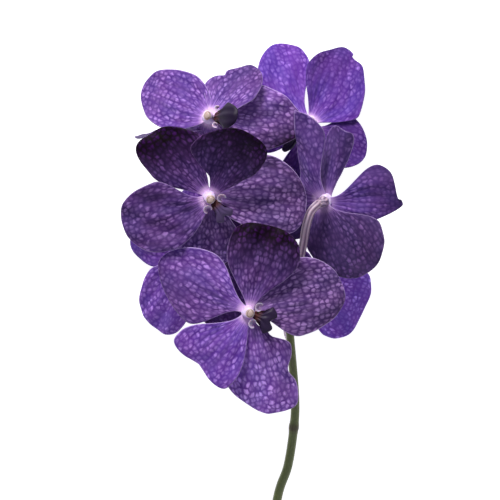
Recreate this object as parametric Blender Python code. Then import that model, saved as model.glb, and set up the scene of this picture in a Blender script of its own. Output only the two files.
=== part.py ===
"""Cut vanda orchid lying on a surface: a flowering stem and seven open blooms. Metres, +Z up."""

import bpy
import numpy as np
from math import cos, pi, radians, sin

for old in list(bpy.data.objects):
    bpy.data.objects.remove(old)

MM = 0.001
BLADE = 0.8  # thickness of a sepal or petal, mm
BLADE_ROOT = 3.0  # from the middle of a bloom to the root of a blade, mm
CLAW = 1.7  # half width of a blade at its root, mm
EDGE_WAVE = 0.6  # how far a blade's edge waves up and down, mm
FOLD_ROUND = 6.0  # how softly a crease is folded, mm2
COLUMN_SEAT = -0.35  # foot of the column, mm above the middle of a bloom
LIP_ROOT = (2.6, 2.1)  # root of the lip, mm forward of the middle of a bloom and above it
STALK_SEAT = -1.0  # end of the flower stalk, mm above the middle of a bloom
STALK = 1.8  # radius of a flower stalk, mm
STALK_ROOT = 1.6  # its radius at the stem, mm
STALK_RISE = 2.9  # how far it leaves the stem square before it bends, mm
OVARY = 9.0  # length of its straight end behind a bloom, mm
OVARY_GIRTH = (2.0, 2.6, 3.1)  # radii as that end widens into the bloom, mm
STEM = 2.55  # radius of the stem at its cut end, mm
STEM_TAPER = 1.1  # how much thinner its tip is, mm
STEM_GAP = 1.1  # from the stem's skin to the first ring of a flower stalk, mm
VIEW = 1200.0  # height of the viewpoint above the surface, mm
SCALE = 0.55  # mm to one unit of the photograph, at HEIGHT above the surface
HEIGHT = 45.0  # mm
FOOTPRINT_MIDDLE = (7.1, -35.08, 0.24)  # middle of the object's footprint, mm


def plain(name, colour, roughness):
    """A material of one colour."""
    made = bpy.data.materials.new(name)
    made.use_nodes = True
    shader = made.node_tree.nodes["Principled BSDF"]
    shader.inputs["Base Color"].default_value = (*colour, 1.0)
    shader.inputs["Roughness"].default_value = roughness
    shader.inputs["Metallic"].default_value = 0.0
    return made


TEPAL_SKIN = plain("tepal", (0.115, 0.045, 0.33), 0.5)
LIP_SKIN = plain("lip", (0.02, 0.012, 0.05), 0.45)
COLUMN_SKIN = plain("column", (0.8, 0.7, 0.62), 0.45)
STALK_SKIN = plain("pedicel", (0.42, 0.3, 0.45), 0.5)
STEM_SKIN = plain("stem", (0.085, 0.1, 0.04), 0.55)


def spot(across, down, height):
    """A point by its place in the photograph and its height above the surface, in mm."""
    reach = SCALE * (VIEW - height) / (VIEW - HEIGHT)
    return np.array([(across - 250.0) * reach, (250.0 - down) * reach, height])


def unit(v):
    v = np.asarray(v, float)
    return v / np.linalg.norm(v, axis=-1, keepdims=True)


def bloom_axes(face, heading):
    """The way a bloom faces, the heading laid into its plane, and the way across it."""
    n = unit(face)
    hx, hy = cos(radians(heading)), sin(radians(heading))
    d = unit([hx, hy, -(hx * n[0] + hy * n[1]) / n[2]])
    return n, d, np.cross(n, d)


def add_empty(name, place):
    """A holder for one bloom's pieces, or for the stem's, at a place in mm."""
    holder = bpy.data.objects.new(name, None)
    holder.location = (np.asarray(place) - FOOTPRINT_MIDDLE) * MM
    bpy.context.scene.collection.objects.link(holder)
    return holder


def add_mesh(name, verts, faces, material, holder, place):
    """An object from points in mm, under the holder that stands at the place."""
    mesh = bpy.data.meshes.new(name)
    mesh.from_pydata(((np.asarray(verts) - place) * MM).tolist(), [], faces)
    mesh.materials.append(material)
    mesh.shade_smooth()
    obj = bpy.data.objects.new(name, mesh)
    obj.parent = holder
    bpy.context.scene.collection.objects.link(obj)
    return obj


def join(body, extras):
    """Grows the extra closed pieces into the body with Boolean unions."""
    for number, extra in enumerate(extras):
        extra.hide_render = True
        extra.display_type = "WIRE"
        union = body.modifiers.new(f"join_{number}", "BOOLEAN")
        union.operation = "UNION"
        union.solver = "EXACT"
        union.object = extra


# Sepals and petals


def half_width(s, widest, belly, tip, root):
    """Half width along a blade: a sine rise to the belly, then a rounded fall to the tip."""
    rise = np.sin(pi / 2 * np.clip(s / belly, 0, 1)) ** root
    fall = np.clip(1 - np.clip((s - belly) / (1 - belly), 0, 1) ** tip, 0, 1) ** (1 / tip)
    return widest * np.where(s < belly, rise, fall)


def blade_grid(middle, face, rows, columns, heading, length, left, right, rise=0.0, curl=-12.0, lift=0.0,
               cup=8.0, crease=0.0, sway=0.0, twist=0.0, ripple=0.0, notch=0.0, dents=()):
    """Middle surface of a sepal or petal, as rows of points in mm.

    The midrib leaves the bloom along its heading at the angle rise, bends by curl out of the bloom's
    plane and by sway within it. Each row crosses the midrib, rolled about it by twist, arched by cup,
    folded by crease and waved at its ends. left and right hold a side's half width, the place of its
    belly along the length, and how full its tip and its root are. notch draws the tip's middle in, and
    each of dents draws in one side, 1 for left and -1 for right, at a place along it.
    """
    if face[2] < 0:
        face, rise, curl, lift, cup = -np.asarray(face), -rise, -curl, -lift, -cup
    n, d, across = bloom_axes(face, heading)
    fine = np.linspace(0, 1, 201)
    up = np.radians(rise + curl * fine)
    turn = np.radians(sway) * fine
    along = (np.cos(up) * np.cos(turn))[:, None] * d + (np.cos(up) * np.sin(turn))[:, None] * across
    along = along + np.sin(up)[:, None] * n
    rib = np.vstack([np.zeros(3), np.cumsum((along[1:] + along[:-1]) / 2, 0) / 200 * length])
    rib = rib + middle + BLADE_ROOT * d + lift * n
    s = np.sin(np.linspace(0, pi / 2, rows + 1))
    rib = np.stack([np.interp(s, fine, rib[:, i]) for i in range(3)], -1)
    t = unit(np.stack([np.interp(s, fine, along[:, i]) for i in range(3)], -1))
    turn = np.radians(sway) * s[:, None]
    b = np.cos(turn) * across - np.sin(turn) * d
    b = unit(b - (b * t).sum(-1, keepdims=True) * t)
    out = np.cross(t, b)
    roll = np.radians(twist) * np.sin(pi / 2 * np.clip(s / 0.4, 0, 1))[:, None]
    b, out = np.cos(roll) * b + np.sin(roll) * out, np.cos(roll) * out - np.sin(roll) * b
    side = np.linspace(-1, 1, columns + 1)
    sign = np.where(side >= 0, 1.0, -1.0)
    claw = CLAW * (1 - s) ** 3
    widths = [(claw + half_width(s, *half))[:, None] for half in (left, right)]
    width = np.where(side >= 0, *widths)
    for which, place, depth, span in dents:
        dent = depth * np.exp(-((s[:, None] - place) / span) ** 2)
        width = np.where(sign == which, np.clip(width - dent, 0.15 * width, None), width)
    width[-1] = 0
    x = np.abs(side) * width
    wide = 0.5 * (left[0] + right[0])
    bend = radians(cup) / wide
    height = (1 - np.cos(bend * x)) / bend
    height = height + np.tan(radians(crease)) * (np.sqrt(x * x + FOLD_ROUND) - FOLD_ROUND ** 0.5)
    wave = EDGE_WAVE * np.abs(side) ** 2.2 * np.sin(2 * pi * (s[:, None] + heading / 97.0 + 0.25 * sign))
    wave = wave + ripple * np.abs(side) ** 6 * np.sin(7 * pi * s[:, None] + 1.3 * sign)
    calm = np.clip(s / 0.3, 0, 1) * np.clip((1 - s) / 0.08, 0, 1) ** 0.5
    height = height + wave * calm[:, None]
    reach = sign * np.sin(bend * x) / bend
    points = rib[:, None] + b[:, None] * reach[..., None] + out[:, None] * height[..., None]
    pull = notch * s[:, None] ** 5 * np.exp(-(x / (0.33 * wide)) ** 2)
    return points - t[:, None] * pull[..., None]


def blade(name, holder, middle, face, **shape):
    """A sepal or petal: the grid split into triangles alike on both faces, then thickened."""
    rows, columns = 9, 6
    grid = blade_grid(middle, face, rows, columns, **shape)
    verts = np.vstack([grid[:rows].reshape(-1, 3), grid[rows, :1]])
    tip = len(verts) - 1
    faces = []
    for i in range(rows):
        for j in range(columns):
            a = i * (columns + 1) + j
            b = a + columns + 1
            if i == rows - 1:
                faces.append((a, tip, a + 1))
            else:
                faces += [(a, b, b + 1), (a, b + 1, a + 1)]
    obj = add_mesh(name, verts, faces, TEPAL_SKIN, holder, middle)
    thick = obj.modifiers.new("thickness", "SOLIDIFY")
    thick.thickness = BLADE * MM
    thick.offset = 0.0


# Round pieces


def tube(name, holder, place, path, radius, material, sides=8, flat=1.0, up=(0, 0, 1)):
    """A closed tube along a path, each ring an ellipse with its short side turned to up."""
    path = np.asarray(path, float)
    rings = len(path)
    radius = np.broadcast_to(np.asarray(radius, float), (rings,))
    flat = np.broadcast_to(np.asarray(flat, float), (rings,))
    along = unit(np.gradient(path, axis=0))
    across = unit(np.cross(np.asarray(up, float), along[0]))
    angle = np.arange(sides)[:, None] * 2 * pi / sides
    verts = []
    faces = []
    for i in range(rings):
        across = unit(across - (across @ along[i]) * along[i])
        above = np.cross(along[i], across)
        verts.append(path[i] + radius[i] * (np.cos(angle) * across + flat[i] * np.sin(angle) * above))
    first, last = rings * sides, rings * sides + 1
    verts = np.vstack(verts + [path[:1], path[-1:]])
    for i in range(rings - 1):
        for j in range(sides):
            a, b = i * sides + j, i * sides + (j + 1) % sides
            faces += [(a, b, b + sides), (a, b + sides, a + sides)]
    for j in range(sides):
        a, b = j, (j + 1) % sides
        faces += [(first, b, a), (last, first - sides + a, first - sides + b)]
    return add_mesh(name, verts, faces, material, holder, place)


def smooth_path(points, steps):
    """A smooth curve through the points, with so many steps from each to the next."""
    points = np.asarray(points, float)
    points = np.vstack([2 * points[0] - points[1], points, 2 * points[-1] - points[-2]])
    curve = []
    for a, b, c, d in zip(points, points[1:], points[2:], points[3:]):
        for u in np.arange(steps) / steps:
            bends = (c - a) * u + (2 * a - 5 * b + 4 * c - d) * u**2 + (3 * b - 3 * c + d - a) * u**3
            curve.append(b + 0.5 * bends)
    return np.array(curve + [points[-2]])


def add_column(name, holder, middle, face, heading):
    """The blunt column in the middle of a bloom: a foot, a waist, and a rounded cap leaning forward."""
    n, d, _ = bloom_axes(face, heading)
    profile = [(0.0, COLUMN_SEAT, 2.5), (-0.1, 1.0, 2.4), (-0.3, 2.6, 2.4), (-0.3, 4.4, 2.6),
               (0.0, 5.9, 2.8), (0.5, 7.1, 2.3), (0.9, 7.7, 1.2)]
    path = [middle + forward * d + up * n for forward, up, _ in profile]
    tube(name, holder, middle, path, [radius for _, _, radius in profile], COLUMN_SKIN)


def add_lip(name, holder, middle, face, heading, length, rise, curl, flare, waist=0.5):
    """The flat lip: it flares from a narrow root to a broad end, with a small lobe each side of its root."""
    n, d, side = bloom_axes(face, heading)
    up = np.radians(rise + curl * np.linspace(0, 1, 9))[1:, None]
    step = (np.cos(up) * d + np.sin(up) * n) * length / 8
    path = middle + LIP_ROOT[0] * d + LIP_ROOT[1] * n + np.vstack([np.zeros(3), np.cumsum(step, 0)])
    share = np.linspace(0, 1, 9)
    radius = np.interp(share, (0, 0.12, waist, waist + 0.25, 1), (1.4, 2.0, 2.4, flare, 0.5 * flare))
    flat = np.interp(share, (0, 0.3, 0.9, 1), (0.5, 1.2, 1.4, 0.7)) / radius
    lip = tube(name, holder, middle, path, radius, LIP_SKIN, flat=flat, up=n)
    lobes = []
    for sign in (-1, 1):
        bends = [(0.6, 0.0), (3.2, 0.9), (4.9, 2.8), (5.4, 4.6)]
        points = [path[1] + sign * out * side + above * n for out, above in bends]
        girth = [1.0, 2.2, 2.3, 1.1]
        lobes.append(tube(f"{name}_lobe", holder, middle, points, girth, LIP_SKIN, flat=0.42, up=side))
    join(lip, lobes)


# The stem: from its cut end up to its thin tip, with a sheathed node and a bract under each flower

STEM_SPOTS = [(268, 578, 2.6), (278, 500, 13.5), (289, 465, 18.5), (295, 425, 24), (296, 400, 28),
              (294, 370, 32), (291, 335, 36), (288, 300, 36), (284, 260, 34), (280, 220, 32),
              (278, 190, 32), (277, 165, 32)]
NODE_SPOT = (294, 427, 24)
BRACTS = [(353, 160), (318, -20), (306, -60), (268, -160), (248, 150), (192, -170), (178, 20)]
stem_line = smooth_path([spot(*p) for p in STEM_SPOTS], 4)
stem_girth = STEM - STEM_TAPER * np.linspace(0, 1, len(stem_line)) ** 2


def stem_place(down):
    """The ring of the stem that lies level with a place down the photograph."""
    return int(np.argmin(np.abs(stem_line[:, 1] - spot(285, down, 34)[1])))


node_ring = 0.45 * np.exp(-((stem_line[:, 1] - spot(*NODE_SPOT)[1]) / 2.2) ** 2)
stem_holder = add_empty("stem_holder", stem_line[0])
stem = tube("stem", stem_holder, stem_line[0], stem_line, stem_girth + node_ring, STEM_SKIN, 10)
bracts = []
for down, turn in BRACTS:
    k = stem_place(down)
    way = unit(stem_line[k + 1] - stem_line[k])
    beside = unit(np.cross(way, (0, 0, 1)))
    out = cos(radians(turn)) * beside + sin(radians(turn)) * np.cross(beside, way)
    root = stem_line[k] + (stem_girth[k] - 0.7) * out
    points = [root, root + 1.6 * way + 0.8 * out, root + 3.6 * way + 1.5 * out, root + 5.4 * way + 1.7 * out]
    girth = [0.9, 1.3, 1.0, 0.35]
    bracts.append(tube("bract", stem_holder, stem_line[0], points, girth, STEM_SKIN, 6, 0.5, out))
join(stem, bracts)


# The blooms: spots are places across and down the photograph and heights in mm, headings run
# anticlockwise from the photograph's right, and sizes are in mm


def add_stalk(name, holder, middle, face, spots, radius, ovary):
    """The flower stalk, or pedicel: out of the stem, through its spots, and up the back of the bloom."""
    n = unit(face)
    k = stem_place(spots[0][1])
    way = unit(stem_line[k + 1] - stem_line[k - 1])
    out = spot(*spots[0]) - stem_line[k]
    out = unit(out - (out @ way) * way)
    start = [stem_line[k] + (stem_girth[k] + gap) * out for gap in (STEM_GAP, STEM_GAP + STALK_RISE)]
    ends = [middle - ovary * n, middle + STALK_SEAT * n]
    path = smooth_path(start + [spot(*p) for p in spots[1:]] + ends, 3)
    girth = np.full(len(path), radius)
    girth[0] = STALK_ROOT
    girth[-3:] = OVARY_GIRTH
    tube(name, holder, middle, path, girth, STALK_SKIN)


def bloom(name, at, face, lip, stalk, stalk_radius=STALK, ovary=OVARY, **blades):
    """One flower: its five blades, column and lip, and the stalk that joins it to the stem."""
    middle = spot(*at)
    holder = add_empty(name, middle)
    for blade_name, shape in blades.items():
        blade(f"{name}_{blade_name}", holder, middle, face, **shape)
    add_column(f"{name}_column", holder, middle, face, lip["heading"])
    add_lip(f"{name}_lip", holder, middle, face, **lip)
    add_stalk(f"{name}_pedicel", holder, middle, face, stalk, stalk_radius, ovary)


bloom("bloom_1", at=(250, 312, 78), face=(0.0, -0.05, 1.0),
      lip=dict(heading=-22, length=13.5, rise=35, curl=-45, flare=8, waist=0.4),
      stalk=[(280, 318, 44), (268, 317, 51), (255, 314, 62)],
      dorsal_sepal=dict(heading=151, length=53, rise=2, curl=-18,
                        left=(20.5, 0.45, 1.5, 2.3), right=(18.3, 0.55, 1.8, 1.9)),
      left_petal=dict(heading=226, length=38.4, lift=1.2, rise=10, curl=-22, notch=2.4,
                      left=(20, 0.8, 4, 1.1), right=(19.5, 0.8, 4, 2.1)),
      right_petal=dict(heading=78, length=45, lift=1.2, rise=12, curl=-18,
                       left=(18.5, 0.65, 3, 1.5), right=(20.5, 0.67, 2.3, 1.8)),
      left_sepal=dict(heading=281, length=55.5, rise=-2, curl=-18, ripple=0.8,
                      dents=[(1, 0.58, 3.8, 0.1), (1, 0.24, 3, 0.04)],
                      left=(18.3, 0.36, 5.5, 3.0), right=(19.3, 0.6, 1.35, 1.6)),
      right_sepal=dict(heading=10, length=51, rise=-2, curl=-20,
                       left=(24, 0.56, 1.9, 1), right=(17.3, 0.45, 1.9, 1.9)))
bloom("bloom_2", at=(211, 197, 80), face=(0.0, -0.15, 1.0),
      lip=dict(heading=-50, length=13.5, rise=38, curl=-60, flare=6.5),
      stalk=[(272, 248, 42), (255, 230, 48), (228, 209, 62)],
      dorsal_sepal=dict(heading=132, length=45, rise=2, curl=-12, notch=2, dents=[(-1, 0.24, 2.8, 0.08)],
                        left=(15.5, 0.6, 4, 1.4), right=(19, 0.5, 1.5, 1.6)),
      left_petal=dict(heading=199, length=47, lift=1.2, rise=8, curl=-25,
                      left=(19.8, 0.55, 2.2, 0.8), right=(17.5, 0.5, 2.4, 2.5)),
      right_petal=dict(heading=63, length=45, lift=1.2, rise=27, curl=5, dents=[(1, 0.24, 2.8, 0.08)],
                       left=(21.5, 0.53, 1.6, 2.2), right=(16.5, 0.73, 3, 1.2)),
      left_sepal=dict(heading=264, length=43, rise=-15, curl=-20,
                      left=(18, 0.5, 2, 1), right=(16, 0.5, 2, 1)),
      right_sepal=dict(heading=-5, length=50, rise=-5, curl=-12,
                       left=(25, 0.52, 1.7, 1), right=(17.5, 0.74, 2.6, 0.7)))
bloom("bloom_3", at=(212, 118, 60), face=(-0.35, 0.15, 0.9),
      lip=dict(heading=-4, length=20, rise=42, curl=-25, flare=7.4, waist=0.3),
      stalk=[(268, 186, 36), (254, 166, 38), (234, 140, 44)],
      dorsal_sepal=dict(heading=153, length=50, rise=-5, curl=-15,
                        left=(16.5, 0.52, 1.9, 0.8), right=(17.2, 0.42, 2, 0.6)),
      left_petal=dict(heading=192, length=53, lift=-7.2, rise=-5, curl=-25, sway=-12, twist=80,
                      left=(12, 0.5, 2, 1), right=(12, 0.5, 2, 1)),
      right_petal=dict(heading=63, length=38, lift=2, rise=-20, curl=-15, dents=[(1, 0.64, 2.2, 0.05)],
                       left=(13.5, 0.4, 1.4, 1.4), right=(15.2, 0.55, 2, 0.9)),
      left_sepal=dict(heading=262, length=34, rise=-42, curl=-20,
                      left=(16, 0.5, 2, 1), right=(17, 0.5, 2, 1)),
      right_sepal=dict(heading=0, length=52, rise=-35, curl=-10,
                       left=(21, 0.5, 1.6, 1.2), right=(16.3, 0.46, 1.3, 1)))
bloom("bloom_4", at=(310, 124, 26.5), face=(0.2, 0.25, 0.95),
      lip=dict(heading=227, length=22, rise=25, curl=-35, flare=3.4, waist=0.5),
      stalk=[(292, 198, 30), (308, 186, 23), (318, 168, 14), (316, 146, 9)],
      dorsal_sepal=dict(heading=64, length=53.5, rise=-2, curl=-15, dents=[(-1, 0.92, 4, 0.035)],
                        left=(15.3, 0.58, 1.5, 1.6), right=(22.8, 0.32, 1.9, 1.15)),
      left_petal=dict(heading=113.5, length=50.5, lift=-0.8, rise=-4, curl=-12, sway=-12,
                      left=(19, 0.5, 1.65, 0.9), right=(15, 0.74, 2.1, 2.5)),
      right_petal=dict(heading=-27, length=34, lift=-1.6, rise=0, curl=-10,
                       left=(17, 0.52, 1.8, 3), right=(15, 0.55, 1.8, 1)),
      left_sepal=dict(heading=180, length=42, rise=-12, curl=-10, lift=-1.4,
                      left=(15, 0.5, 2, 1), right=(15, 0.5, 2, 1)),
      right_sepal=dict(heading=250, length=42, rise=-24, curl=-10,
                       left=(10, 0.5, 2, 1), right=(6.5, 0.75, 2, 1.6)))
bloom("bloom_5", at=(325, 201, 54), face=(0.3, 0.25, -0.92), stalk_radius=2.3, ovary=5.0,
      lip=dict(heading=183, length=16, rise=40, curl=-40, flare=3.2),
      stalk=[(293, 292, 44), (295, 283, 48), (300, 262, 54), (304.5, 242, 59), (307.5, 225, 63),
             (312, 212, 65), (318, 205, 64)],
      dorsal_sepal=dict(heading=-2, length=42, curl=-10, dents=[(1, 0.94, 6.5, 0.045)], lift=1.4,
                        left=(20.5, 0.66, 1.75, 2.2), right=(11, 0.5, 1.3, 0.8)),
      left_petal=dict(heading=-60, length=43, lift=-0.8, curl=-15, crease=8,
                      left=(22.6, 0.52, 2.3, 2.2), right=(21, 0.45, 1.8, 0.7)),
      right_petal=dict(heading=74, length=37, lift=5, crease=-45, rise=5, curl=-10,
                       left=(12.5, 0.6, 3, 0.5), right=(5, 0.75, 3, 1.6)),
      left_sepal=dict(heading=200, length=34, rise=-5, curl=-10, lift=1.4,
                      left=(15, 0.5, 2, 1), right=(15, 0.5, 2, 1)),
      right_sepal=dict(heading=107, length=50, crease=-25, curl=-10,
                       left=(11.5, 0.15, 1.1, 0.4), right=(10.5, 0.7, 1.3, 3)))
bloom("bloom_6", at=(195, 262, 26.5), face=(-0.45, -0.2, 0.85),
      lip=dict(heading=192, length=15, rise=40, curl=-40, flare=3.4),
      stalk=[(272, 270, 34), (248, 263, 24), (222, 262, 9)],
      dorsal_sepal=dict(heading=23, length=41, rise=-22, curl=-10,
                        left=(16, 0.5, 2, 1), right=(16, 0.5, 2, 1)),
      left_petal=dict(heading=86, length=42, lift=1.2, curl=-10,
                      left=(15, 0.5, 2, 1), right=(15, 0.5, 2, 1)),
      right_petal=dict(heading=306, length=42, lift=1.2, rise=5, curl=-10,
                       left=(21, 0.5, 2, 0.8), right=(16, 0.5, 2, 1)),
      left_sepal=dict(heading=165, length=43.5, rise=-5, curl=-10, lift=0.9,
                      left=(10, 0.62, 2, 2.8), right=(16, 0.5, 2, 1)),
      right_sepal=dict(heading=228, length=46.8, rise=3, curl=-10,
                       left=(20.2, 0.68, 2.4, 1), right=(15.8, 0.48, 1.8, 1.5)))
bloom("bloom_7", at=(312, 288, 25.4), face=(0.45, -0.2, 0.87),
      lip=dict(heading=220, length=14, rise=35, curl=-40, flare=3.2),
      stalk=[(290, 338, 28), (289, 337, 14), (287, 322, 5), (294, 298, 4)],
      dorsal_sepal=dict(heading=50, length=42, rise=-3, curl=-8,
                        left=(13, 0.5, 2, 1), right=(11, 0.55, 2, 1.2)),
      left_petal=dict(heading=128, length=28, lift=1.2, rise=-23, curl=-10,
                      left=(11, 0.5, 2, 1), right=(12, 0.5, 2, 1)),
      right_petal=dict(heading=-28, length=39, lift=1.2, rise=-4, curl=-10,
                       left=(23, 0.62, 2.2, 1), right=(20, 0.5, 2.4, 1)),
      left_sepal=dict(heading=192, length=38, rise=-36, curl=-10,
                      left=(12, 0.5, 2, 1.4), right=(11, 0.5, 2, 1.4)),
      right_sepal=dict(heading=272, length=28, rise=-25, curl=-40,
                       left=(14, 0.5, 2, 1), right=(8, 0.6, 2, 1.4)))
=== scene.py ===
"""Cut vanda orchid laid on a pale floor: its petals, lips, columns, stalks and stem as fine surfaces."""

from math import cos, pi, radians, sin

import bpy
import numpy as np
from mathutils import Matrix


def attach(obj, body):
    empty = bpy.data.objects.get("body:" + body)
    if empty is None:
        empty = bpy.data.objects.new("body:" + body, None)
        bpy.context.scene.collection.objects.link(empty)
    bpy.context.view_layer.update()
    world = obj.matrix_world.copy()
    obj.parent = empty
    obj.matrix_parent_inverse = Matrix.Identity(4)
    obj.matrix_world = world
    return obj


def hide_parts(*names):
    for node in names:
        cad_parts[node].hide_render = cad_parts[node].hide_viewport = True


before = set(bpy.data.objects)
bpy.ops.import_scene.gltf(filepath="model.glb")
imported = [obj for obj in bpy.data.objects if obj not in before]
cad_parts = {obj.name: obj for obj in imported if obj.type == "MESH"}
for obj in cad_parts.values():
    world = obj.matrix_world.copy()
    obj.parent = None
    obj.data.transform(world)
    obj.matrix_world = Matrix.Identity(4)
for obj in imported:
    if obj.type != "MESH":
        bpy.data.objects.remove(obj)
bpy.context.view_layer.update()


# Viewpoint
# The flower lies down and the camera looks straight down on it, as the photograph looks at its blooms.
# Lengths are in millimetres from here on, and each mesh is moved to the footprint's middle in metres.

MM = 0.001
VIEW = 1200.0  # height of the viewpoint above the floor
VIEW_ACROSS = 0.5  # how far it stands to the right of the photograph's middle
SCALE = 0.55  # mm to one unit of the photograph, at HEIGHT above the floor
HEIGHT = 45.0
PHOTO_SIDE = 500.0  # units across the photograph
FOOTPRINT_MIDDLE = np.array((7.1, -35.08, 0.24))  # from the floor under the photograph's middle
SENSOR = 36.0

camera = bpy.data.cameras.new("camera")
camera.sensor_width = SENSOR
camera.lens = (VIEW - HEIGHT) / (SCALE * PHOTO_SIDE) * SENSOR
camera_object = bpy.data.objects.new("camera", camera)
camera_object.location = (np.array((VIEW_ACROSS, 0.0, VIEW)) - FOOTPRINT_MIDDLE) * MM
bpy.context.scene.collection.objects.link(camera_object)
bpy.context.scene.camera = camera_object


# Floor and light
# A white table top under one broad lamp that stands past the tips of the blooms, as in the photograph,
# with a faint lamp on the other side and a weak sky for the shaded sides.

FLOOR_REACH = 3.0  # metres from the floor's middle to its edges
SKY_STRENGTH = 0.3
LAMP_AIM = (0.0, 0.04, 0.05)  # metres, a place among the blooms


def hex_colour(code):
    """Linear red, green, blue and alpha of an sRGB hex colour."""
    srgb = np.array([int(code[k:k + 2], 16) for k in (1, 3, 5)]) / 255
    return (*np.where(srgb <= 0.04045, srgb / 12.92, ((srgb + 0.055) / 1.055) ** 2.4).tolist(), 1.0)


def new_material(name, **sockets):
    """A material whose Principled shader has these constant values. Gives its tree and shader too."""
    made = bpy.data.materials.new(name)
    made.use_nodes = True
    shader = made.node_tree.nodes["Principled BSDF"]
    for socket, value in sockets.items():
        shader.inputs[socket.replace("_", " ")].default_value = value
    return made, made.node_tree, shader


bpy.context.scene.view_settings.view_transform = "Standard"
sky = bpy.data.worlds.new("sky")
sky.use_nodes = True
sky.node_tree.nodes["Background"].inputs["Color"].default_value = hex_colour("#F2F3FF")
sky.node_tree.nodes["Background"].inputs["Strength"].default_value = SKY_STRENGTH
bpy.context.scene.world = sky

floor_mesh = bpy.data.meshes.new("floor")
floor_corners = [(x * FLOOR_REACH, y * FLOOR_REACH, 0.0) for x, y in ((-1, -1), (1, -1), (1, 1), (-1, 1))]
floor_mesh.from_pydata(floor_corners, [], [(0, 1, 2, 3)])
floor = bpy.data.objects.new("floor", floor_mesh)
bpy.context.scene.collection.objects.link(floor)
# Matt white laminate, lit through from below as a light table is, so that it looks white all over and
# takes almost no shadow
table_top, _, _ = new_material(
    "white laminate", Base_Color=hex_colour("#C4C4C8"), Roughness=0.7, Emission_Color=(1, 1, 1, 1),
    Emission_Strength=0.9)
floor_mesh.materials.append(table_top)


def add_lamp(name, place, aim, side, watts, colour):
    """A square lamp at a place, turned to its aim, in metres."""
    lamp = bpy.data.lights.new(name, "AREA")
    lamp.shape = "SQUARE"
    lamp.size = side
    lamp.energy = watts
    lamp.color = hex_colour(colour)[:3]
    lamp_object = bpy.data.objects.new(name, lamp)
    lamp_object.location = place
    way = np.array(place) - np.array(aim)
    across = np.hypot(way[0], way[1])
    lamp_object.rotation_euler = (np.arctan2(across, way[2]), 0.0, np.arctan2(way[0], -way[1]))
    bpy.context.scene.collection.objects.link(lamp_object)


add_lamp("key", (-0.35, 1.25, 1.05), LAMP_AIM, side=0.6, watts=32.0, colour="#FFFDF8")
add_lamp("fill", (0.3, -1.0, 1.0), LAMP_AIM, side=1.0, watts=2.0, colour="#F4F6FF")


# Sepals and petals
# Each bloom has three sepals and two petals, thin and velvety, on narrow claws round the column. Their
# violet is netted: dark veins fan out from the claw and meet in small pale cells, and the rim is pale.

TEPAL = 0.7  # thickness of a blade
BLADE_ROOT = 1.5  # from the middle of a bloom to the root of a blade, under the column
BARE_CLAW = 1.5  # length that the claw adds to the blade there
CLAW = 2.2  # half width of a blade at its root
FOLD_ROUND = 6.0  # square of the half width of the round bottom of a fold along the midrib
EDGE_WAVE = 0.6  # how far a blade's edge waves up and down
EDGE_RUFFLE = 0.3  # the same for the shorter waves of its rim
SLACK = 0.38  # height of each of the three waves that the blade swells in
PLEAT = 0.022  # height of the pleats along the veins, as a share of the half width
CELL = 3.6  # length of a cell of the net
CELL_WIDE = 2.9  # its width far from the root
VEINS = 11.0  # veins to one radian of the fan near the root
FAN_BACK = 4.0  # the veins fan out from this far behind the root of a blade
REACH = 60.0  # longest distance that the colours along a blade are measured over

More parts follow.
